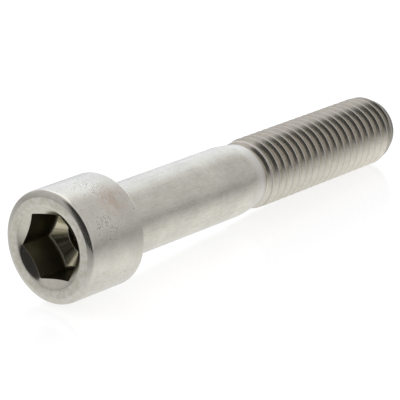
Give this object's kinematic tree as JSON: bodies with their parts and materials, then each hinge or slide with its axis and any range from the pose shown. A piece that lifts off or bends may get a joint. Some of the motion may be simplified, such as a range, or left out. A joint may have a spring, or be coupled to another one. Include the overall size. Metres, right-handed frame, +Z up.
{
  "type": "socket head cap screw",
  "caption": "Socket head cap screw: cylindrical head with a hex socket, plain shank and a threaded end, for clamping parts together.",
  "frame": {"origin": "middle of the resting screw's box, on the surface it lies on", "axes": "+X from the head towards the tip, +Z up; the screw's own axis dips 2.6 degrees towards the tip because the head is wider than the thread"},
  "size_m": [0.0822, 0.018, 0.0185],
  "materials": {
    "stainless_steel": "cold-forged and tumbled stainless steel, satin, unplated"
  },
  "bodies": {
    "root": {"cap_screw": "stainless_steel"}
  },
  "joints": []
}
